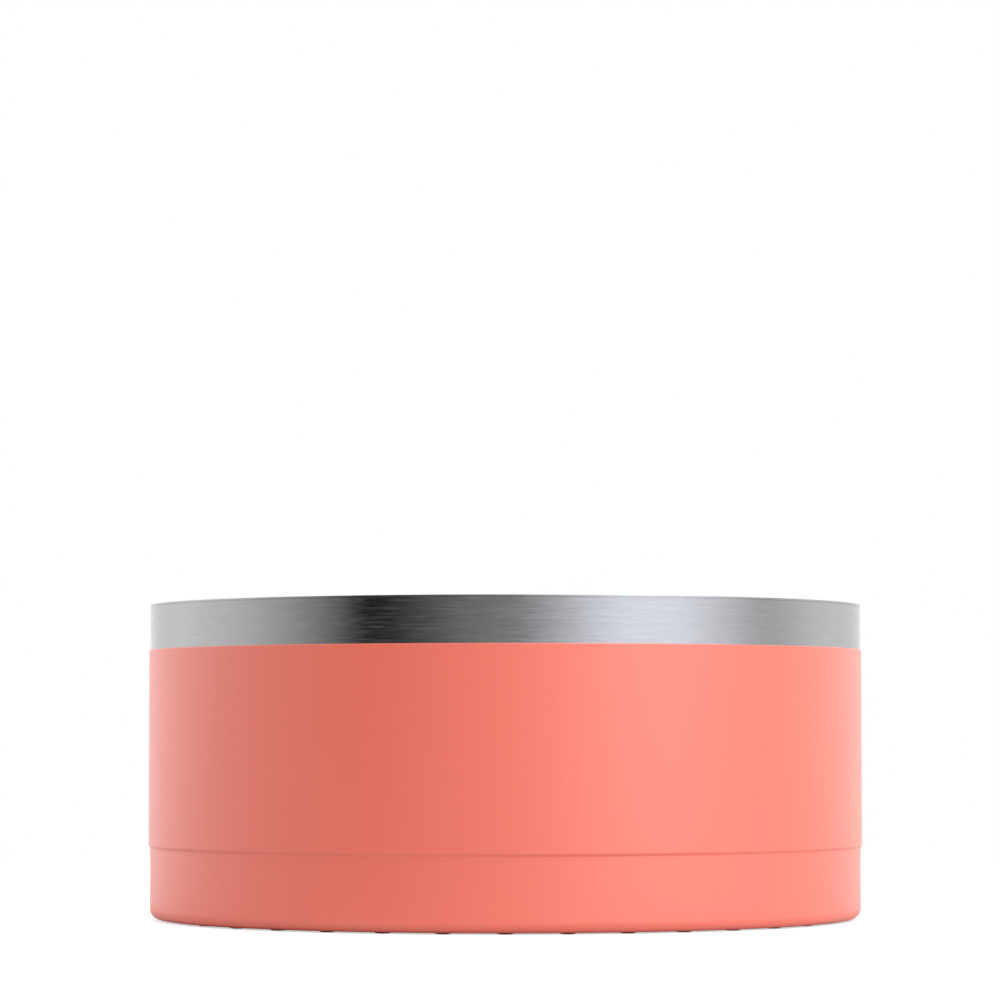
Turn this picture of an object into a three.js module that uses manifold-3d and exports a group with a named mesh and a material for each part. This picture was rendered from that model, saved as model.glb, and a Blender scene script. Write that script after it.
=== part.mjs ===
// A double-wall dog bowl: a drawn steel inner bowl hangs by its lip on a steel sleeve,
// a pressed base pan closes the sleeve below, one coat covers both from outside,
// and a rubber foot ring is bonded into a channel under the pan.
// Millimetres, +Z up. The origin is on the ground, on the axis of the bowl.

import * as THREE from "three";
import { mergeVertices } from "three/addons/utils/BufferGeometryUtils.js";
import Module from "manifold-3d";

// Outside
const overallHeight = 93.5;
const coatDiameter = 213;
const bandHeight = 13.4; // bare steel from the lip down to the coat
const seamHeight = 21.8; // ground up to the step where the sleeve ends
const cornerRadius = 3.05; // coated edge under the base

// Sheet gauges, coat and fits
const bowlWall = 0.6;
const sleeveWall = 0.4;
const panWall = 0.5;
const coatThickness = 0.25;
const fitGap = 0.05; // between pieces that touch
const skirtLap = 8; // how far the pan reaches up inside the sleeve

// Inner bowl
const bowlDepth = 70; // lip down to the inside floor
const wallTaper = THREE.MathUtils.degToRad(6);
const floorFillet = 26;
const lipWidth = 3;
const lipInsideBend = 1;
const lipEdge = 0.2; // rounding of the outer edge of the lip

// Underside of the pan
const landWidth = 0.1; // flat foot of the pan between its corner and the channel
const panInsideBend = 0.15;
const panelRecess = 1; // centre panel above the foot of the pan
const panelStepRadius = 62; // where the pressed step of the panel starts
const panelStepRise = 1.2;
const panelStepBend = 2;

// Foot ring
const ringWidth = 5.4;
const ringThickness = 2.2;
const ringClearance = 0.1; // each side of the ring in its channel
const ringChamfer = 0.3; // upper edges, which lead into the channel
const ringRecess = 0.2; // face of the ring above the foot of the coat
const bondThickness = 0.2;
const bondInset = 0.3; // each side of the bond under the width of the ring
const lugCount = 36;
const lugProud = 0.4; // lugs below the foot of the coat
const lugMargin = 0.1; // each side of a lug on the ring
const lugCrown = 2.6; // flat tip of a lug, across
const lugRoot = 0.5; // depth of a lug's stem inside the ring

// Facets
const facetsAround = 60;
const lugFacets = 8;
const wideBend = 10; // a bend of this radius or more is drawn with fine steps
const wideStep = THREE.MathUtils.degToRad(11);
const tightStep = THREE.MathUtils.degToRad(45);

// Places that follow from the sizes
const coatStandoff = fitGap + coatThickness;
const sleeveRadius = coatDiameter / 2 - coatStandoff;
const panRadius = sleeveRadius - sleeveWall - fitGap;
const coatTop = overallHeight - bandHeight;
const sleeveBottom = seamHeight + coatStandoff;
const sleeveTop = overallHeight - bowlWall - fitGap;
const floorHeight = overallHeight - bowlDepth;
const panFoot = lugProud + coatStandoff;

// A pressed bend has a tight side and, one gauge further out, a wide side.
const lipBend = lipInsideBend + bowlWall;
const panWideBend = panInsideBend + panWall;
const panCorner = cornerRadius - coatStandoff;

const corner = new THREE.Vector2(panRadius - panCorner, panFoot + panCorner);
const bead = new THREE.Vector2(corner.x - landWidth, panFoot + panWideBend);
const channelOuter = bead.x - panWideBend;
const ringOuter = channelOuter - coatStandoff - ringClearance;
const ringInner = ringOuter - ringWidth;
const channelInner = ringInner - ringClearance;
const ringFace = lugProud + ringRecess;
const ringTop = ringFace + ringThickness;
const bondBottom = ringTop + fitGap;
const bondTop = bondBottom + bondThickness;
const channelRoof = bondTop + fitGap;
const panelHeight = panFoot + panelRecess;
const lugCircle = (ringOuter + ringInner) / 2;
const lugRadius = ringWidth / 2 - lugMargin;

// The straight wall of the inner bowl runs between the bend of the lip and the floor fillet.
const lip = new THREE.Vector2(sleeveRadius - lipWidth + lipBend, overallHeight - lipBend);
const filletHeight = floorHeight + floorFillet;
const filletDrop = lip.y - filletHeight + (floorFillet + lipBend) * Math.sin(wallTaper);
const fillet = new THREE.Vector2(
  lip.x - (floorFillet + lipBend) * Math.cos(wallTaper) - filletDrop * Math.tan(wallTaper),
  filletHeight,
);

const brushedSteel = new THREE.MeshStandardMaterial({ color: 0xb8babd, roughness: 0.35, metalness: 1 });
const powderCoat = new THREE.MeshStandardMaterial({ color: 0xee7864, roughness: 0.45, metalness: 0 });
const rubber = new THREE.MeshStandardMaterial({ color: 0x191a1b, roughness: 0.8, metalness: 0 });
const bondFilm = new THREE.MeshStandardMaterial({ color: 0xd9d2bf, roughness: 0.6, metalness: 0 });

// The points of a path: the ends of its lines, and steps along its arcs.
function tracePath(path) {
  const points = [];
  for (const curve of path.curves) {
    let steps = 1;
    if (curve.isEllipseCurve) {
      const sweep = Math.abs(curve.aEndAngle - curve.aStartAngle);
      steps = Math.ceil(sweep / (curve.xRadius < wideBend ? tightStep : wideStep));
    }
    const traced = curve.getPoints(steps);
    points.push(...(points.length ? traced.slice(1) : traced));
  }
  return points;
}

// A closed section between the two faces of a sheet, which run the same way.
function sheetSection(face, back) {
  return [...tracePath(face), ...tracePath(back).reverse()];
}

// Turns a closed section of radius and height about the axis, with its faces outward.
function revolve(section, facets) {
  const outline = THREE.ShapeUtils.isClockWise(section) ? section.toReversed() : section;
  const closed = [...outline, outline[0]];
  return new THREE.LatheGeometry(closed, facets).rotateX(Math.PI / 2);
}

// The inside face of the inner bowl, from the axis up to the lip, or the face at a depth behind it.
function bowlFace(depth) {
  const face = new THREE.Path();
  face.moveTo(0, floorHeight - depth);
  face.lineTo(fillet.x, floorHeight - depth);
  face.absarc(fillet.x, fillet.y, floorFillet + depth, -Math.PI / 2, -wallTaper, false);
  face.absarc(lip.x, lip.y, lipBend - depth, Math.PI - wallTaper, Math.PI / 2, true);
  return face;
}

function innerBowl() {
  const face = bowlFace(0);
  face.lineTo(sleeveRadius - lipEdge, overallHeight);
  face.absarc(sleeveRadius - lipEdge, overallHeight - lipEdge, lipEdge, Math.PI / 2, 0, true);
  const back = bowlFace(bowlWall);
  back.lineTo(sleeveRadius, overallHeight - bowlWall);
  return revolve(sheetSection(face, back), facetsAround);
}

// A ring of rectangular section.
function plainRing(outer, inner, bottom, top) {
  const section = [
    new THREE.Vector2(inner, bottom),
    new THREE.Vector2(outer, bottom),
    new THREE.Vector2(outer, top),
    new THREE.Vector2(inner, top),
  ];
  return revolve(section, facetsAround);
}

// The outside face of the base pan, from its skirt to the axis, or the face at a depth behind it.
function panFace(depth) {
  const tight = panInsideBend + depth;
  const wide = panWideBend - depth;
  const stepWide = panelStepBend + panWall - depth;
  const stepTight = panelStepBend + depth;
  const stepSpan = 2 * panelStepBend + panWall;
  const stepSlope = Math.acos(1 - panelStepRise / stepSpan);
  const stepEnd = panelStepRadius - stepSpan * Math.sin(stepSlope);
  const panelTop = panelHeight + panelStepRise;
  const face = new THREE.Path();
  face.moveTo(panRadius - depth, sleeveBottom + skirtLap);
  face.lineTo(panRadius - depth, corner.y);
  face.absarc(corner.x, corner.y, panCorner - depth, 0, -Math.PI / 2, true);
  face.absarc(bead.x, bead.y, wide, -Math.PI / 2, -Math.PI, true);
  face.absarc(channelOuter - panInsideBend, channelRoof - panInsideBend, tight, 0, Math.PI / 2, false);
  face.absarc(channelInner + panInsideBend, channelRoof - panInsideBend, tight, Math.PI / 2, Math.PI, false);
  face.absarc(channelInner - panWideBend, panelHeight + panWideBend, wide, 0, -Math.PI / 2, true);
  face.absarc(
    panelStepRadius, panelHeight + panelStepBend + panWall, stepWide, -Math.PI / 2, -Math.PI / 2 - stepSlope, true,
  );
  face.absarc(stepEnd, panelTop - panelStepBend, stepTight, Math.PI / 2 - stepSlope, Math.PI / 2, false);
  face.lineTo(0, panelTop + depth);
  return face;
}

function basePan() {
  return revolve(sheetSection(panFace(0), panFace(panWall)), facetsAround);
}

// A line at a standoff from the steel: down the sleeve, over the step, round the foot into the channel.
function coatFace(standoff) {
  const face = new THREE.Path();
  face.moveTo(sleeveRadius + standoff, coatTop);
  face.lineTo(sleeveRadius + standoff, sleeveBottom - standoff);
  face.lineTo(panRadius + standoff, sleeveBottom - standoff);
  face.absarc(corner.x, corner.y, panCorner + standoff, 0, -Math.PI / 2, true);
  face.absarc(bead.x, bead.y, panWideBend + standoff, -Math.PI / 2, -Math.PI, true);
  return face;
}

function outerCoat() {
  return revolve(sheetSection(coatFace(coatStandoff), coatFace(fitGap)), facetsAround);
}

// One lug under the ring: a flat tip, a quarter-ellipse side and a stem that runs into the ring.
function lugShape() {
  const side = lugRadius - lugCrown / 2;
  const outline = new THREE.Path();
  outline.moveTo(0, 0);
  outline.lineTo(lugCrown / 2, 0);
  outline.absellipse(lugCrown / 2, ringFace, side, ringFace, -Math.PI / 2, 0, false, 0);
  outline.lineTo(lugRadius, ringFace + lugRoot);
  outline.lineTo(0, ringFace + lugRoot);
  return revolve(tracePath(outline), lugFacets);
}

const wasm = await Module();
wasm.setup();

function toSolid(geometry) {
  const bare = geometry.clone().deleteAttribute("normal").deleteAttribute("uv");
  const merged = mergeVertices(bare, 1e-3);
  return new wasm.Manifold(
    new wasm.Mesh({
      numProp: 3,
      vertProperties: merged.attributes.position.array,
      triVerts: new Uint32Array(merged.index.array),
    }),
  );
}

function toGeometry(solid) {
  const mesh = solid.getMesh();
  const geometry = new THREE.BufferGeometry();
  geometry.setAttribute("position", new THREE.BufferAttribute(mesh.vertProperties, mesh.numProp));
  geometry.setIndex(new THREE.BufferAttribute(mesh.triVerts, 1));
  geometry.computeVertexNormals();
  return geometry;
}

function footRing() {
  const section = [
    new THREE.Vector2(ringInner, ringFace),
    new THREE.Vector2(ringOuter, ringFace),
    new THREE.Vector2(ringOuter, ringTop - ringChamfer),
    new THREE.Vector2(ringOuter - ringChamfer, ringTop),
    new THREE.Vector2(ringInner + ringChamfer, ringTop),
    new THREE.Vector2(ringInner, ringTop - ringChamfer),
  ];
  const lug = lugShape();
  let ring = toSolid(revolve(section, facetsAround));
  for (let i = 0; i < lugCount; i++) {
    const turn = (2 * Math.PI * i) / lugCount;
    const placed = lug.clone().translate(0, -lugCircle, 0).rotateZ(turn);
    ring = ring.add(toSolid(placed));
  }
  return toGeometry(ring);
}

function piece(name, geometry, material) {
  const mesh = new THREE.Mesh(geometry, material);
  mesh.name = name;
  return mesh;
}

const dogBowl = new THREE.Group();
dogBowl.add(
  piece("inner_bowl", innerBowl(), brushedSteel),
  piece("outer_sleeve", plainRing(sleeveRadius, sleeveRadius - sleeveWall, sleeveBottom, sleeveTop), brushedSteel),
  piece("base_pan", basePan(), brushedSteel),
  piece("powder_coat", outerCoat(), powderCoat),
  piece("ring_bond", plainRing(ringOuter - bondInset, ringInner + bondInset, bondBottom, bondTop), bondFilm),
  piece("foot_ring", footRing(), rubber),
);

export default dogBowl;
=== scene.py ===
# Dog bowl: a drawn steel bowl in a coral coated sleeve, on a rubber foot ring.
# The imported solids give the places. This script gives the fine surfaces, finishes, light and camera.
# Sections, as (radius, height), and patterns are in millimetres, and the meshes are in metres.
import math

import bmesh
import bpy
import numpy as np
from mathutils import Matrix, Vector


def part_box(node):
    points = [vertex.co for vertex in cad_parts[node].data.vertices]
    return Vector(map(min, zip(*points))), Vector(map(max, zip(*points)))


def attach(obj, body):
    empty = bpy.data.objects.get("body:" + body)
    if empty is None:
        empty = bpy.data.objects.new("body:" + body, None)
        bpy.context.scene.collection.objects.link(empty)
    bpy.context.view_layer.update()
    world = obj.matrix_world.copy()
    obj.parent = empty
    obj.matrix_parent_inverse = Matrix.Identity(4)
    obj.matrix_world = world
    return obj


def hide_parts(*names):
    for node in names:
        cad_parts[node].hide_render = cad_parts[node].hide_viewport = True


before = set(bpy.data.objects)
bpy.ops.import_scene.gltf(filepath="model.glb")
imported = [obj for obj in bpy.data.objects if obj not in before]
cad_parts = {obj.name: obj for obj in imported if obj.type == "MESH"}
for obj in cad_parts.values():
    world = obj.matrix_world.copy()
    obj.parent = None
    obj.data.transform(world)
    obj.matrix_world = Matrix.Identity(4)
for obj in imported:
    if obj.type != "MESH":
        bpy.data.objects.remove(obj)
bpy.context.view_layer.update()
mm = 0.001
columnsAround = 432  # a 1.5 mm step round the wall
sharpDegrees = 35    # an edge that bends more than this stays crisp
touching = 1e-6      # points closer than this, in a section's or a mesh's own unit, are one point
print("frame loaded:", ", ".join(sorted(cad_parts)))


def nodeBox(node):
    # a node's lowest and highest corners, in millimetres
    low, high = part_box(node)
    return np.array(low) / mm, np.array(high) / mm


bowlLow, bowlHigh = nodeBox("inner_bowl")
sleeveLow, sleeveHigh = nodeBox("outer_sleeve")
panLow, panHigh = nodeBox("base_pan")
coatTop = nodeBox("powder_coat")[1][2]
ringHigh = nodeBox("foot_ring")[1]
sleeveRadius = sleeveHigh[0]
panRadius = panHigh[0]
panFoot = panLow[2]
lipTop = bowlHigh[2]


# Section drawing

def arc(centre, radius, startDegrees, endDegrees, count=9):
    # points on a circle: centre + radius * (cos, sin), the angle going evenly from start to end
    angle = np.radians(np.linspace(startDegrees, endDegrees, count))
    return np.array(centre) + radius * np.stack([np.cos(angle), np.sin(angle)], 1)


def sectionLine(*parts, runStep=2.5, fewest=3, most=40):
    # arcs and corner points in order; a straight run between two of them gets points that gather
    # at its ends, (1 - cos) / 2 of the way, so an edge doesn't bend the shading of the flat beside it
    line = [np.atleast_2d(parts[0]).astype(float)]
    for part in parts[1:]:
        part = np.atleast_2d(part).astype(float)
        start, end = line[-1][-1], part[0]
        length = math.dist(start, end)
        if length > touching:
            count = max(fewest, min(most, round(length / runStep)))
            share = (1 - np.cos(np.pi * np.arange(1, count) / count)) / 2
            line.append(start + share[:, None] * (end - start))
            line.append(part)
        else:
            line.append(part[1:])
    return np.vstack(line)


def backwards(parts):
    # the same arcs and corner points, run from the last to the first
    return [np.atleast_2d(part)[::-1] for part in reversed(parts)]


# Meshes

def newPiece(name, points, quads, brushUv, replaced, material):
    # one closed, smooth mesh at the origin; its UV map runs round the axis, from 0 to 1,
    # and along the section, in metres
    mesh = bpy.data.meshes.new(name)
    mesh.from_pydata((points * mm).tolist(), [], quads.tolist())
    uvLayer = mesh.uv_layers.new(name="brush")
    uvLayer.uv.foreach_set("vector", brushUv.astype(np.float32).ravel())
    mesh.shade_smooth()
    mesh.set_sharp_from_angle(angle=math.radians(sharpDegrees))
    mesh.materials.append(material)
    piece = bpy.data.objects.new(name, mesh)
    bpy.context.scene.collection.objects.link(piece)
    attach(piece, "root")
    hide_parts(replaced)
    print(name, "has", len(quads), "faces")
    return piece


def gridFaces(rows, columns, closedRows):
    # quads of a grid that wraps round its columns, and round its rows if the section is a closed loop
    rowCount = rows if closedRows else rows - 1
    row, column = np.meshgrid(np.arange(rowCount), np.arange(columns), indexing="ij")
    nextRow, nextColumn = (row + 1) % rows, (column + 1) % columns
    corners = [row * columns + column, row * columns + nextColumn,
               nextRow * columns + nextColumn, nextRow * columns + column]
    faces = np.stack(corners, -1).reshape(-1, 4)
    wrapU = np.stack([column, column + 1, column + 1, column], -1).reshape(-1, 4) / columns
    wrapV = np.stack([row, row, row + 1, row + 1], -1).reshape(-1, 4)
    return faces, wrapU, wrapV


def alongSection(section, closed):
    # distance in metres along the section, with the closing step of a loop at the end
    looped = np.vstack([section, section[:1]]) if closed else section
    step = np.hypot(*np.diff(looped, axis=0).T)
    return np.concatenate([[0], np.cumsum(step)]) * mm


def closePoles(piece):
    # the first and last rows lie on the axis, so each becomes one point and its quads become triangles
    mesh = bmesh.new()
    mesh.from_mesh(piece.data)
    poles = [v for v in mesh.verts if math.hypot(v.co.x, v.co.y) < touching]
    bmesh.ops.remove_doubles(mesh, verts=poles, dist=touching)
    mesh.to_mesh(piece.data)
    mesh.free()


def carryPiece(name, section, angle, height, replaced, material):
    # a section carried round the axis: (r cos a, r sin a, height) on a grid of section points and angles;
    # a section that starts and ends on the axis is open there, and its poles are fans
    closed = section[0, 0] > touching
    radius = section[:, :1]
    points = np.stack([radius * np.cos(angle), radius * np.sin(angle), height], -1).reshape(-1, 3)
    faces, u, v = gridFaces(len(section), len(angle), closed)
    uv = np.stack([u, alongSection(section, closed)[v]], -1)
    piece = newPiece(name, points, faces, uv, replaced, material)
    if not closed:
        closePoles(piece)
    return piece


def turnPiece(name, section, replaced, material):
    # a piece that is the same all round, so each row of its grid keeps the height of its section point
    angle = 2 * np.pi * np.arange(columnsAround) / columnsAround
    height = section[:, 1:] + 0 * angle
    return carryPiece(name, section, angle, height, replaced, material)


# Materials

colourA, colourB, colourOut = 6, 7, 2  # a Mix node's colour sockets, by number because their names repeat
noiseLow, noiseHigh = 0.3, 0.7         # nearly all of a noise lies between these


def linearColour(hexText):
    # an sRGB hex value as the linear colour that a shader socket takes
    value = np.array([int(hexText[i:i + 2], 16) for i in (1, 3, 5)]) / 255
    linear = np.where(value <= 0.04045, value / 12.92, ((value + 0.055) / 1.055) ** 2.4)
    return (*linear.tolist(), 1.0)


def addNode(tree, kind, settings=None, links=None):
    # a node with its settings, by property or socket name, and its links, by socket name or number
    node = tree.nodes.new(kind)
    for key, value in (settings or {}).items():
        if isinstance(key, str) and hasattr(node, key):
            setattr(node, key, value)
        else:
            node.inputs[key].default_value = value
    for key, source in (links or {}).items():
        tree.links.new(source, node.inputs[key])
    return node


def newMaterial(name):
    material = bpy.data.materials.new(name)
    material.use_nodes = True
    material.node_tree.nodes.clear()
    return material, material.node_tree


def finishMaterial(tree, shader):
    addNode(tree, "ShaderNodeOutputMaterial", links={"Surface": shader.outputs[0]})


# Brushed stainless sheet: an abrasive belt held against the turning bowl leaves hair lines round it.
# The eye sees fine streaks along the wall, each mirroring a slightly different part of the room.
brushedFinish = {
    "colours": ("#ADADAE", "#B4B4B5"),
    "edgeTint": "#EFEFEF",
    "roughness": (0.09, 0.27),
    "anisotropic": 0.5,
    "hairSpacing": 0.36,  # real hair lines are about 0.1 mm apart, drawn coarser to show in the render
    "hairLength": 10.0,
    "hairLean": 0.017,    # how far a hair line turns the reflection to one side, as a slope
    "hairDepth": 0.0016,
    "bandSpacing": 1.6,
    "bandLength": 60.0,
}

# Spun stainless: the drawn bowl is polished with a pad while it turns, which leaves a satin of fine rings.
# The eye sees soft, wide reflections with thin concentric lines across them.
spunFinish = {
    "colours": ("#ACACAD", "#BCBCBD"),
    "edgeTint": "#F0F0F0",
    "roughness": (0.29, 0.37),
    "anisotropic": 0.55,
    "hairSpacing": 0.7,   # the rings are finer than this on a real bowl, drawn coarser to show
    "hairLength": 50.0,
    "hairLean": 0.012,
    "hairDepth": 0.0030,
    "bandSpacing": 3.5,
    "bandLength": 160.0,
}

# What the two brushed finishes share
brushPattern = {
    "hairJump": 5.3,        # how far apart in the noise two hair lines lie, so that they are unlike
    "bandJump": 1.0,
    "bandShare": 0.35,      # how much the wide bands add to the roughness of the hair lines
    "wear": (0.5, 0.85),    # the range of that sum, from smooth to rough
    "highlightTurn": 0.25,  # a quarter turn, so that a highlight spreads across the hair lines
}


def brushedSteel(name, finish):
    pattern = brushPattern
    material, tree = newMaterial(name)
    coords = addNode(tree, "ShaderNodeTexCoord")
    place = addNode(tree, "ShaderNodeSeparateXYZ", links={0: coords.outputs["Object"]})
    brush = addNode(tree, "ShaderNodeUVMap", {"uv_map": "brush"})
    along = addNode(tree, "ShaderNodeSeparateXYZ", links={0: brush.outputs["UV"]})
    # the pattern changes quickly across the brush lines and slowly along them
    spread = addNode(tree, "ShaderNodeCombineXYZ",
                     links={0: place.outputs["X"], 1: place.outputs["Y"], 2: along.outputs["Y"]})
    # each hair line runs level, so the hair pattern takes a new, far-off place in the noise for each line
    line = addNode(tree, "ShaderNodeMath", {"operation": "SNAP", 1: finish["hairSpacing"] * mm},
                   {0: along.outputs["Y"]})
    lines = addNode(tree, "ShaderNodeCombineXYZ",
                    links={0: place.outputs["X"], 1: place.outputs["Y"], 2: line.outputs[0]})
    noises = {}
    for kind, source in (("hair", lines), ("band", spread)):
        length, spacing = finish[kind + "Length"] * mm, finish[kind + "Spacing"] * mm
        scale = (1 / length, 1 / length, pattern[kind + "Jump"] / spacing)
        stretched = addNode(tree, "ShaderNodeVectorMath", {"operation": "MULTIPLY", 1: scale},
                            {0: source.outputs[0]})
        noises[kind] = addNode(tree, "ShaderNodeTexNoise", {"Scale": 1.0, "Detail": 3.0, "Roughness": 0.6},
                               {"Vector": stretched.outputs[0]})
    # the colour channels of one noise are unlike each other, so lean, tone and roughness vary by themselves
    hair = addNode(tree, "ShaderNodeSeparateColor", links={0: noises["hair"].outputs["Color"]})
    wear = addNode(tree, "ShaderNodeMath", {"operation": "MULTIPLY_ADD", 1: pattern["bandShare"]},
                   {0: noises["band"].outputs["Fac"], 2: hair.outputs["Green"]})
    lowWear, highWear = pattern["wear"]
    lowRough, highRough = finish["roughness"]
    rough = addNode(tree, "ShaderNodeMapRange",
                    {"From Min": lowWear, "From Max": highWear, "To Min": lowRough, "To Max": highRough},
                    {"Value": wear.outputs[0]})
    shade = addNode(tree, "ShaderNodeMapRange", {"From Min": noiseLow, "From Max": noiseHigh},
                    {"Value": hair.outputs["Blue"]})
    dark, pale = finish["colours"]
    tone = addNode(tree, "ShaderNodeMix",
                   {"data_type": "RGBA", colourA: linearColour(dark), colourB: linearColour(pale)},
                   {0: shade.outputs["Result"]})
    # a hair line leans the normal along the wall: normal + lean * tangent
    tangent = addNode(tree, "ShaderNodeTangent", {"direction_type": "RADIAL", "axis": "Z"})
    geometry = addNode(tree, "ShaderNodeNewGeometry")
    lean = addNode(tree, "ShaderNodeMapRange",
                   {"From Min": noiseLow, "From Max": noiseHigh,
                    "To Min": -finish["hairLean"], "To Max": finish["hairLean"]},
                   {"Value": hair.outputs["Red"]})
    aside = addNode(tree, "ShaderNodeVectorMath", {"operation": "SCALE"},
                    {0: tangent.outputs["Tangent"], "Scale": lean.outputs["Result"]})
    leaned = addNode(tree, "ShaderNodeVectorMath", {"operation": "ADD"},
                     {0: geometry.outputs["Normal"], 1: aside.outputs[0]})
    bump = addNode(tree, "ShaderNodeBump", {"Strength": 1.0, "Distance": finish["hairDepth"] * mm},
                   {"Height": hair.outputs["Blue"], "Normal": leaned.outputs[0]})
    shader = addNode(tree, "ShaderNodeBsdfPrincipled",
                     {"Metallic": 1.0, "Specular Tint": linearColour(finish["edgeTint"]),
                      "Anisotropic": finish["anisotropic"],
                      "Anisotropic Rotation": pattern["highlightTurn"]},
                     {"Base Color": tone.outputs[colourOut], "Roughness": rough.outputs["Result"],
                      "Normal": bump.outputs["Normal"], "Tangent": tangent.outputs["Tangent"]})
    finishMaterial(tree, shader)
    return material


# Polyester powder coat, baked: sprayed grains melt into a satin film with a faint orange peel.
# The eye sees a soft, wide sheen and paler edges where the wall turns away.
coatFinish = {
    "colours": ("#F17460", "#F57864"),
    "roughness": (0.29, 0.32),
    "ior": 1.76,
    "peelSize": 1.8,
    "peelDepth": 0.0016,
    "grainSize": 0.4,
    "grainDepth": 0.0005,
}


def powderCoat(name, finish):
    material, tree = newMaterial(name)
    coords = addNode(tree, "ShaderNodeTexCoord")
    peel = addNode(tree, "ShaderNodeTexNoise", {"Scale": 1 / (finish["peelSize"] * mm), "Detail": 2.0},
                   {"Vector": coords.outputs["Object"]})
    grain = addNode(tree, "ShaderNodeTexNoise", {"Scale": 1 / (finish["grainSize"] * mm), "Detail": 1.0},
                    {"Vector": coords.outputs["Object"]})
    lowRough, highRough = finish["roughness"]
    rough = addNode(tree, "ShaderNodeMapRange",
                    {"From Min": noiseLow, "From Max": noiseHigh, "To Min": lowRough, "To Max": highRough},
                    {"Value": peel.outputs["Fac"]})
    shade = addNode(tree, "ShaderNodeMapRange", {"From Min": noiseLow, "From Max": noiseHigh},
                    {"Value": grain.outputs["Fac"]})
    deep, pale = finish["colours"]
    tone = addNode(tree, "ShaderNodeMix",
                   {"data_type": "RGBA", colourA: linearColour(deep), colourB: linearColour(pale)},
                   {0: shade.outputs["Result"]})
    peelBump = addNode(tree, "ShaderNodeBump", {"Strength": 1.0, "Distance": finish["peelDepth"] * mm},
                       {"Height": peel.outputs["Fac"]})
    grainBump = addNode(tree, "ShaderNodeBump", {"Strength": 1.0, "Distance": finish["grainDepth"] * mm},
                        {"Height": grain.outputs["Fac"], "Normal": peelBump.outputs["Normal"]})
    shader = addNode(tree, "ShaderNodeBsdfPrincipled", {"IOR": finish["ior"]},
                     {"Base Color": tone.outputs[colourOut], "Roughness": rough.outputs["Result"],
                      "Normal": grainBump.outputs["Normal"]})
    finishMaterial(tree, shader)
    return material


# Black rubber, compression moulded in an eroded tool. The eye sees a matt black with a fine even grain.
rubberFinish = {"colour": "#141516", "roughness": (0.62, 0.78), "grainSize": 0.3, "grainDepth": 0.004}


def mouldedRubber(name, finish):
    material, tree = newMaterial(name)
    coords = addNode(tree, "ShaderNodeTexCoord")
    grain = addNode(tree, "ShaderNodeTexNoise", {"Scale": 1 / (finish["grainSize"] * mm), "Detail": 2.0},
                    {"Vector": coords.outputs["Object"]})
    lowRough, highRough = finish["roughness"]
    rough = addNode(tree, "ShaderNodeMapRange",
                    {"From Min": noiseLow, "From Max": noiseHigh, "To Min": lowRough, "To Max": highRough},
                    {"Value": grain.outputs["Fac"]})
    bump = addNode(tree, "ShaderNodeBump", {"Strength": 1.0, "Distance": finish["grainDepth"] * mm},
                   {"Height": grain.outputs["Fac"]})
    shader = addNode(tree, "ShaderNodeBsdfPrincipled", {"Base Color": linearColour(finish["colour"])},
                     {"Roughness": rough.outputs["Result"], "Normal": bump.outputs["Normal"]})
    finishMaterial(tree, shader)
    return material


# Acrylic bonding film, pressed flat: pale and slightly cloudy. It is hidden above the foot ring.
bondFinish = {"colours": ("#D9D2BF", "#CFC7B2"), "cloudSize": 6.0, "roughness": 0.5}


def bondFilm(name, finish):
    material, tree = newMaterial(name)
    coords = addNode(tree, "ShaderNodeTexCoord")
    cloud = addNode(tree, "ShaderNodeTexNoise", {"Scale": 1 / (finish["cloudSize"] * mm)},
                    {"Vector": coords.outputs["Object"]})
    clear, cloudy = finish["colours"]
    tone = addNode(tree, "ShaderNodeMix",
                   {"data_type": "RGBA", colourA: linearColour(clear), colourB: linearColour(cloudy)},
                   {0: cloud.outputs["Fac"]})
    shader = addNode(tree, "ShaderNodeBsdfPrincipled", {"Roughness": finish["roughness"]},
                     {"Base Color": tone.outputs[colourOut]})
    finishMaterial(tree, shader)
    return material


brushedSheet = brushedSteel("stainless_steel_belt_brushed", brushedFinish)
spunSheet = brushedSteel("stainless_steel_spun_satin", spunFinish)
coralCoat = powderCoat("polyester_powder_coat_satin", coatFinish)
blackRubber = mouldedRubber("black_rubber_moulded", rubberFinish)
paleBond = bondFilm("acrylic_bond_film_pressed", bondFinish)
print("materials made")


# Inner bowl

innerBowl = {
    "wall": 0.6, "taperDegrees": 6.0, "floorFillet": 26.0,
    "lipWidth": 3.0, "lipBend": 1.6, "lipEdge": 0.12,
}


def bowlFace(depth):
    # the inside face from the axis to the top of the lip, or the face at a depth behind it
    size = innerBowl
    taper = math.radians(size["taperDegrees"])
    floorHeight = bowlLow[2] + size["wall"]
    lip = (sleeveRadius - size["lipWidth"] + size["lipBend"], lipTop - size["lipBend"])
    reach = size["floorFillet"] + size["lipBend"]
    filletHeight = floorHeight + size["floorFillet"]
    drop = lip[1] - filletHeight + reach * math.sin(taper)
    fillet = (lip[0] - reach * math.cos(taper) - drop * math.tan(taper), filletHeight)
    return [
        (0, floorHeight - depth),
        arc(fillet, size["floorFillet"] + depth, -90, -size["taperDegrees"], count=28),
        arc(lip, size["lipBend"] - depth, 180 - size["taperDegrees"], 90, count=14),
    ]


def bowlSection():
    # out along the back face, round the edge of the lip, and in along the seen face
    edge, wall = innerBowl["lipEdge"], innerBowl["wall"]
    back = bowlFace(wall) + [(sleeveRadius, lipTop - wall)]
    lipEdge = arc((sleeveRadius - edge, lipTop - edge), edge, 0, 90)
    return sectionLine(*back, lipEdge, *backwards(bowlFace(0)))


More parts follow.
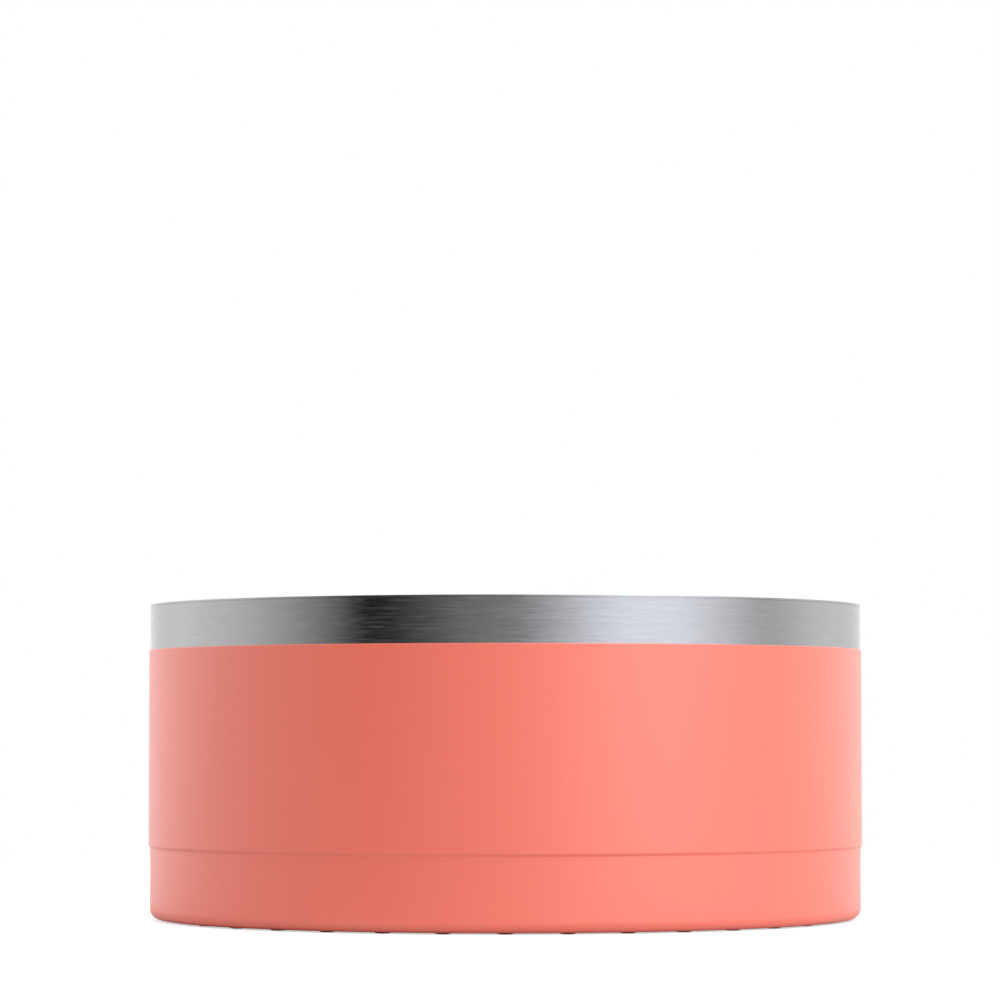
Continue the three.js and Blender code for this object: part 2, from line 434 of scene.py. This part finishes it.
def brushLipEdge(bowl):
    # the belt that brushes the sleeve also runs over the edge of the lip, which is flush with it
    mesh = bowl.data
    mesh.materials.append(brushedSheet)
    centre = np.zeros(3 * len(mesh.polygons), np.float32)
    mesh.polygons.foreach_get("center", centre)
    x, y = centre.reshape(-1, 3)[:, :2].T / mm
    onEdge = np.hypot(x, y) > sleeveRadius - innerBowl["lipEdge"]
    mesh.polygons.foreach_set("material_index", onEdge.astype(np.int32))


brushLipEdge(turnPiece("steel_inner_bowl", bowlSection(), "inner_bowl", spunSheet))


# Sleeve

sleeve = {"wall": 0.4}


def sleeveSection():
    # a plain cylinder of sheet, from the step in the wall up to the lip
    inner, bottom, top = sleeveRadius - sleeve["wall"], sleeveLow[2], sleeveHigh[2]
    corners = [(inner, bottom), (sleeveRadius, bottom), (sleeveRadius, top), (inner, top)]
    return sectionLine(*corners, corners[0])[:-1]


turnPiece("steel_sleeve", sleeveSection(), "outer_sleeve", brushedSheet)


# Base pan

basePan = {
    "wall": 0.5, "corner": 2.75, "land": 0.1, "insideBend": 0.15, "panelRecess": 1.0,
    "stepRadius": 62.0, "stepRise": 1.2, "stepBend": 2.0, "channelWidth": 5.9, "bondSpace": 0.3,
}
cornerCentre = (panRadius - basePan["corner"], panFoot + basePan["corner"])
wideBend = basePan["insideBend"] + basePan["wall"]
beadCentre = (cornerCentre[0] - basePan["land"], panFoot + wideBend)


def panFace(depth):
    # the outside face from the skirt to the axis, or the face at a depth behind it
    size = basePan
    tight, wide = size["insideBend"] + depth, wideBend - depth
    channelOuter = beadCentre[0] - wideBend
    channelInner = channelOuter - size["channelWidth"]
    roof = ringHigh[2] + size["bondSpace"] - size["insideBend"]
    panel = panFoot + size["panelRecess"]
    stepWide = size["stepBend"] + size["wall"]
    span = size["stepBend"] + stepWide
    slope = math.degrees(math.acos(1 - size["stepRise"] / span))
    stepEnd = size["stepRadius"] - span * math.sin(math.radians(slope))
    panelTop = panel + size["stepRise"]
    return [
        (panRadius - depth, panHigh[2]),
        arc(cornerCentre, size["corner"] - depth, 0, -90, count=12),
        arc(beadCentre, wide, -90, -180),
        arc((channelOuter - size["insideBend"], roof), tight, 0, 90, count=6),
        arc((channelInner + size["insideBend"], roof), tight, 90, 180, count=6),
        arc((channelInner - wideBend, panel + wideBend), wide, 0, -90),
        arc((size["stepRadius"], panel + stepWide), stepWide - depth, -90, -90 - slope, count=7),
        arc((stepEnd, panelTop - size["stepBend"]), size["stepBend"] + depth, 90 - slope, 90, count=7),
        (0, panelTop + depth),
    ]


def panSection():
    # out along the underside, up the skirt, and back along the hidden face
    return sectionLine(*backwards(panFace(0)), *panFace(basePan["wall"]))


turnPiece("steel_base_pan", panSection(), "base_pan", brushedSheet)


# Powder coat

coat = {"gap": 0.05, "thickness": 0.25, "topEdge": 0.2, "stepRound": 0.9}


def coatSection():
    # up the seen face from the foot, over the step, to the masked edge, and down behind it along the steel
    gap, standoff = coat["gap"], coat["gap"] + coat["thickness"]
    edge, bend = coat["topEdge"], coat["stepRound"]
    outer, base = sleeveRadius + standoff, panRadius + standoff
    stepHeight = sleeveLow[2] - standoff
    # the step is two equal bends: out of the base wall, then up into the sleeve wall
    lean = math.degrees(math.acos(1 - (outer - base) / (2 * bend)))
    rise = bend * math.sin(math.radians(lean))
    seen = [
        arc(beadCentre, wideBend + standoff, -180, -90),
        arc(cornerCentre, basePan["corner"] + standoff, -90, 0, count=14),
        arc((base + bend, stepHeight - rise), bend, 180, 180 - lean, count=8),
        arc((outer - bend, stepHeight + rise), bend, -lean, 0, count=8),
        arc((outer - edge, coatTop - edge), edge, 0, 90, count=7),
    ]
    back = [
        (sleeveRadius + gap, coatTop),
        (sleeveRadius + gap, sleeveLow[2] - gap),
        (panRadius + gap, sleeveLow[2] - gap),
        arc(cornerCentre, basePan["corner"] + gap, 0, -90, count=14),
        arc(beadCentre, wideBend + gap, -90, -180),
    ]
    return sectionLine(*seen, *back, seen[0][0])[:-1]


turnPiece("coral_powder_coat", coatSection(), "powder_coat", coralCoat)


# Foot ring

footRing = {
    "width": 5.4, "thickness": 2.2, "edge": 0.08, "topEdge": 0.3,
    "lugs": 36, "lugRadius": 2.6, "lugTip": 1.3,
    "undersideRows": 34, "sideStep": 0.8,
    "lugColumns": 30, "gapColumns": 5, "lugReach": 1.04,  # the close columns reach just past a lug
}
ringOuter, ringTop = ringHigh[0], ringHigh[2]
ringInner = ringOuter - footRing["width"]
ringFace = ringTop - footRing["thickness"]
ringMiddle = (ringOuter + ringInner) / 2
lugPitch = 2 * np.pi / footRing["lugs"]
frontLug = -np.pi / 2  # one lug points at the camera


def ringSection():
    # even rows across the underside, which carry the lugs, then the other three sides
    edge, topEdge = footRing["edge"], footRing["topEdge"]
    underside = np.linspace(ringInner + edge, ringOuter - edge, footRing["undersideRows"])
    lowEdge = sectionLine(np.stack([underside, np.full_like(underside, ringFace)], 1),
                          arc((ringOuter - edge, ringFace + edge), edge, -90, 0, count=4))
    sides = sectionLine(lowEdge[-1],
                        arc((ringOuter - topEdge, ringTop - topEdge), topEdge, 0, 90, count=5),
                        arc((ringInner + topEdge, ringTop - topEdge), topEdge, 90, 180, count=5),
                        arc((ringInner + edge, ringFace + edge), edge, 180, 270, count=4),
                        runStep=footRing["sideStep"])
    return np.vstack([lowEdge, sides[1:-1]])


def ringAngles():
    # close columns over each lug, and wide ones between two lugs
    lugAngle = footRing["lugRadius"] * footRing["lugReach"] / ringMiddle
    overLug = np.linspace(-lugAngle, lugAngle, footRing["lugColumns"], endpoint=False)
    between = np.linspace(lugAngle, lugPitch - lugAngle, footRing["gapColumns"], endpoint=False)
    lugPlace = np.arange(footRing["lugs"])[:, None] * lugPitch + frontLug
    return (lugPlace + np.concatenate([overLug, between])).ravel()


def lugDepth(radius, angle):
    # how far a lug reaches below the ring: all the way to the ground at its flat tip, and round that
    # a quarter ellipse, depth * sqrt(1 - ((distance - tip) / (lug radius - tip))^2)
    tip = footRing["lugTip"]
    turned = (angle - frontLug + lugPitch / 2) % lugPitch - lugPitch / 2
    distance = np.hypot(radius * np.cos(turned) - ringMiddle, radius * np.sin(turned))
    side = np.clip((distance - tip) / (footRing["lugRadius"] - tip), 0, 1)
    return ringFace * np.sqrt(1 - side ** 2)


def ringPiece(name):
    # the ring's section carried round the axis, with its underside pushed down by the lugs
    section, angle = ringSection(), ringAngles()
    radius, height = section[:, :1], section[:, 1:]
    isUnder = (np.arange(len(section)) < footRing["undersideRows"])[:, None]
    lowered = height - isUnder * lugDepth(radius, angle)
    carryPiece(name, section, angle, lowered, "foot_ring", blackRubber)


ringPiece("rubber_foot_ring")


# Ring bond

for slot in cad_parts["ring_bond"].material_slots:
    slot.material = paleBond
print("ring bond has its finish")


# Studio

white = linearColour("#FFFFFF")

# Directions are in degrees, levels are strengths, and the floor and its lamp are in metres.
studio = {
    "backdrop": {"start": -0.70, "full": 0.75,  # where it begins and is full, from -1 in front to 1 behind
                 "power": 0.82, "level": 1.08, "dim": 0.025, "inMetal": 1.12},
    "flag": {"azimuth": 98, "halfWidth": 22, "depth": 0.20},
    "softbox": {"azimuth": 48, "halfWidth": 49, "level": 1.55, "colour": "#F2F5FF"},
    "frontFill": {"azimuth": 7, "halfWidth": 50, "level": 0.36, "colour": "#FFFFFF"},
    "ceiling": {"level": 1.15, "fromElevation": 28, "toElevation": 70},
    "key": {"azimuth": 45, "elevation": 45, "halfWidth": 45, "level": 3.0, "colour": "#FFFFFF"},
    "leftRim": {"azimuth": -134, "elevation": 25, "halfWidth": 30, "level": 5.4, "colour": "#FFFFFF"},
    "rightRim": {"azimuth": 134, "elevation": 25, "halfWidth": 30, "level": 1.3, "colour": "#FFFFFF"},
    # the floor: paper, its glow to the camera, and a painted reflection of the room that metal sees in it,
    # faded in outwards from near the bowl
    "floor": {"radius": 0.6, "corners": 128, "colour": "#C2C2C2", "glow": 0.60,
              "paintedReflection": 0.6, "paintedReflectionStart": 0.105, "paintedReflectionFull": 0.22},
    "ringLamp": {"radius": 0.110, "halfWidth": 0.014, "level": 0.17},
}


def towards(azimuthDegrees, elevationDegrees=0):
    # azimuth 0 is towards the camera, and 90 to its right
    turn, rise = math.radians(azimuthDegrees), math.radians(elevationDegrees)
    return (math.sin(turn) * math.cos(rise), -math.cos(turn) * math.cos(rise), math.sin(rise))


def lightPath(tree):
    # the kinds of ray, and 1 for a ray that metal or glass sends on
    path = addNode(tree, "ShaderNodeLightPath")
    mirrored = addNode(tree, "ShaderNodeMath", {"operation": "MAXIMUM"},
                       {0: path.outputs["Is Glossy Ray"], 1: path.outputs["Is Transmission Ray"]})
    return path, mirrored


def panelGlow(tree, panel, direction, kind):
    # a soft panel: level * share^2, where share falls from 1 at its middle to 0 at its half width
    facing = addNode(tree, "ShaderNodeVectorMath",
                     {"operation": "DOT_PRODUCT", 1: towards(panel["azimuth"], panel.get("elevation", 0))},
                     {0: direction})
    share = addNode(tree, "ShaderNodeMapRange",
                    {"From Min": math.cos(math.radians(panel["halfWidth"])), "From Max": 1.0},
                    {"Value": facing.outputs["Value"]})
    square = addNode(tree, "ShaderNodeMath", {"operation": "MULTIPLY"},
                     {0: share.outputs["Result"], 1: share.outputs["Result"]})
    strength = addNode(tree, "ShaderNodeMath", {"operation": "MULTIPLY", 1: panel["level"]},
                       {0: square.outputs[0]})
    return addNode(tree, kind, {"Color": linearColour(panel["colour"])}, {"Strength": strength.outputs[0]})


def roomSides(tree, direction, kind):
    # the room by a level direction: a white backdrop from the sides to the back, less what a flag hides,
    # of strength level * share^power + dim, and two tall panels; it also gives the backdrop's share there
    backdrop, flag = studio["backdrop"], studio["flag"]
    flat = addNode(tree, "ShaderNodeVectorMath", {"operation": "MULTIPLY", 1: (1.0, 1.0, 0.0)},
                   {0: direction})
    sideways = addNode(tree, "ShaderNodeVectorMath", {"operation": "NORMALIZE"}, {0: flat.outputs[0]})
    back = addNode(tree, "ShaderNodeVectorMath", {"operation": "DOT_PRODUCT", 1: towards(180)},
                   {0: sideways.outputs[0]})
    # the dark flag stands at the outer edge of the softbox
    beside = addNode(tree, "ShaderNodeVectorMath",
                     {"operation": "DOT_PRODUCT", 1: towards(flag["azimuth"])},
                     {0: sideways.outputs[0]})
    hidden = addNode(tree, "ShaderNodeMapRange",
                     {"From Min": math.cos(math.radians(flag["halfWidth"])), "To Max": -flag["depth"]},
                     {"Value": beside.outputs["Value"]})
    bare = addNode(tree, "ShaderNodeMath", {"operation": "ADD"},
                   {0: back.outputs["Value"], 1: hidden.outputs["Result"]})
    share = addNode(tree, "ShaderNodeMapRange",
                    {"From Min": backdrop["start"], "From Max": backdrop["full"]},
                    {"Value": bare.outputs[0]})
    power = addNode(tree, "ShaderNodeMath", {"operation": "POWER", 1: backdrop["power"]},
                    {0: share.outputs["Result"]})
    strength = addNode(tree, "ShaderNodeMath",
                       {"operation": "MULTIPLY_ADD", 1: backdrop["level"], 2: backdrop["dim"]},
                       {0: power.outputs[0]})
    sides = addNode(tree, kind, {"Color": white}, {"Strength": strength.outputs[0]})
    for panel in (studio["softbox"], studio["frontFill"]):
        glow = panelGlow(tree, panel, sideways.outputs[0], kind)
        sides = addNode(tree, "ShaderNodeAddShader", links={0: sides.outputs[0], 1: glow.outputs[0]})
    return sides, share


def studioWorld():
    # the room as light: its sides, a ceiling over them and three lamps
    world = bpy.data.worlds.new("studio")
    world.use_nodes = True
    tree = world.node_tree
    tree.nodes.clear()
    coords = addNode(tree, "ShaderNodeTexCoord")
    direction = coords.outputs["Generated"]
    sides, backShare = roomSides(tree, direction, "ShaderNodeBackground")
    # the ceiling takes over above the tall panels
    ceiling = studio["ceiling"]
    height = addNode(tree, "ShaderNodeSeparateXYZ", links={0: direction})
    overhead = addNode(tree, "ShaderNodeMapRange",
                       {"interpolation_type": "SMOOTHSTEP",
                        "From Min": math.sin(math.radians(ceiling["fromElevation"])),
                        "From Max": math.sin(math.radians(ceiling["toElevation"]))},
                       {"Value": height.outputs["Z"]})
    above = addNode(tree, "ShaderNodeBackground", {"Color": white, "Strength": ceiling["level"]})
    light = addNode(tree, "ShaderNodeMixShader",
                    links={0: overhead.outputs["Result"], 1: sides.outputs[0], 2: above.outputs[0]})
    for panel in (studio["key"], studio["leftRim"], studio["rightRim"]):
        glow = panelGlow(tree, panel, direction, "ShaderNodeBackground")
        light = addNode(tree, "ShaderNodeAddShader", links={0: light.outputs[0], 1: glow.outputs[0]})
    # metal sees the white backdrop where it stands, and the camera sees white all round
    path, mirrored = lightPath(tree)
    below = addNode(tree, "ShaderNodeMath", {"operation": "SUBTRACT", 0: 1.0},
                    {1: overhead.outputs["Result"]})
    standing = addNode(tree, "ShaderNodeMath", {"operation": "MULTIPLY"},
                       {0: backShare.outputs["Result"], 1: below.outputs[0]})
    mirrorShare = addNode(tree, "ShaderNodeMath", {"operation": "MULTIPLY"},
                          {0: mirrored.outputs[0], 1: standing.outputs[0]})
    backdrop = addNode(tree, "ShaderNodeBackground",
                       {"Color": white, "Strength": studio["backdrop"]["inMetal"]})
    inMetal = addNode(tree, "ShaderNodeMixShader",
                      links={0: mirrorShare.outputs[0], 1: light.outputs[0], 2: backdrop.outputs[0]})
    paper = addNode(tree, "ShaderNodeBackground", {"Color": white, "Strength": 1.0})
    seen = addNode(tree, "ShaderNodeMixShader",
                   links={0: path.outputs["Is Camera Ray"], 1: inMetal.outputs[0], 2: paper.outputs[0]})
    addNode(tree, "ShaderNodeOutputWorld", links={"Surface": seen.outputs[0]})
    bpy.context.scene.world = world


def floorPaper():
    # pale paper that glows to the camera, so it is white outside the bowl's shadow;
    # in metal it shows a painted reflection of the room that stands beside it, emitted as a satin table
    # would reflect it, but not close to the bowl
    size, ring = studio["floor"], studio["ringLamp"]
    material, tree = newMaterial("pale_floor_paper")
    path, mirrored = lightPath(tree)
    coords = addNode(tree, "ShaderNodeTexCoord")
    radius = addNode(tree, "ShaderNodeVectorMath", {"operation": "LENGTH"}, {0: coords.outputs["Object"]})
    # a ring lamp under the paper lifts the shade on the bowl's foot, for diffuse light alone;
    # it falls evenly to both sides of its radius
    offset = addNode(tree, "ShaderNodeMath", {"operation": "SUBTRACT", 1: ring["radius"]},
                     {0: radius.outputs["Value"]})
    away = addNode(tree, "ShaderNodeMath", {"operation": "ABSOLUTE"}, {0: offset.outputs[0]})
    lamp = addNode(tree, "ShaderNodeMapRange",
                   {"From Max": ring["halfWidth"], "To Min": ring["level"], "To Max": 0.0},
                   {"Value": away.outputs[0]})
    under = addNode(tree, "ShaderNodeMath", {"operation": "MULTIPLY"},
                    {0: path.outputs["Is Diffuse Ray"], 1: lamp.outputs["Result"]})
    glow = addNode(tree, "ShaderNodeMath", {"operation": "MULTIPLY_ADD", 1: size["glow"]},
                   {0: path.outputs["Is Camera Ray"], 2: under.outputs[0]})
    paper = addNode(tree, "ShaderNodeBsdfDiffuse", {"Color": linearColour(size["colour"])})
    shine = addNode(tree, "ShaderNodeEmission", {"Color": white}, {"Strength": glow.outputs[0]})
    lit = addNode(tree, "ShaderNodeAddShader", links={0: paper.outputs[0], 1: shine.outputs[0]})
    # painted reflection: for glossy rays the paper emits the room's backdrop and panels, by the direction
    # from the axis
    sides, backShare = roomSides(tree, coords.outputs["Object"], "ShaderNodeEmission")
    backdrop = addNode(tree, "ShaderNodeEmission",
                       {"Color": white, "Strength": studio["backdrop"]["inMetal"]})
    room = addNode(tree, "ShaderNodeMixShader",
                   links={0: backShare.outputs["Result"], 1: sides.outputs[0], 2: backdrop.outputs[0]})
    # the painted reflection fades in from near the bowl's foot out to its full share
    clear = addNode(tree, "ShaderNodeMapRange",
                    {"From Min": size["paintedReflectionStart"], "From Max": size["paintedReflectionFull"],
                     "To Max": size["paintedReflection"]},
                    {"Value": radius.outputs["Value"]})
    mirrorShare = addNode(tree, "ShaderNodeMath", {"operation": "MULTIPLY"},
                          {0: mirrored.outputs[0], 1: clear.outputs["Result"]})
    both = addNode(tree, "ShaderNodeMixShader",
                   links={0: mirrorShare.outputs[0], 1: lit.outputs[0], 2: room.outputs[0]})
    finishMaterial(tree, both)
    return material


def studioFloor():
    # a flat disc on the ground: radius * (cos a, sin a, 0)
    size = studio["floor"]
    angle = np.linspace(0, 2 * np.pi, size["corners"], endpoint=False)
    points = size["radius"] * np.stack([np.cos(angle), np.sin(angle), 0 * angle], 1)
    mesh = bpy.data.meshes.new("studio_floor")
    mesh.from_pydata(points.tolist(), [], [list(range(len(points)))])
    mesh.materials.append(floorPaper())
    floor = bpy.data.objects.new("studio_floor", mesh)
    bpy.context.scene.collection.objects.link(floor)


studioWorld()
studioFloor()
print("studio made")


# Camera

# fitted to the bowl's edges in the photograph; metres, degrees and a lens in millimetres
view = {
    "distance": 1.2529, "height": 0.05478, "lens": 150.1,
    "pitchDegrees": 3.2278, "rollDegrees": 0.02, "yawDegrees": 0.0725,
}
cameraData = bpy.data.cameras.new("camera")
cameraData.lens = view["lens"]
camera = bpy.data.objects.new("camera", cameraData)
camera.location = (0, -view["distance"], view["height"])
camera.rotation_euler = (math.radians(90 + view["pitchDegrees"]), math.radians(view["rollDegrees"]),
                         math.radians(view["yawDegrees"]))
bpy.context.scene.collection.objects.link(camera)
bpy.context.scene.camera = camera
bpy.context.scene.view_settings.view_transform = "Standard"
print("camera set")
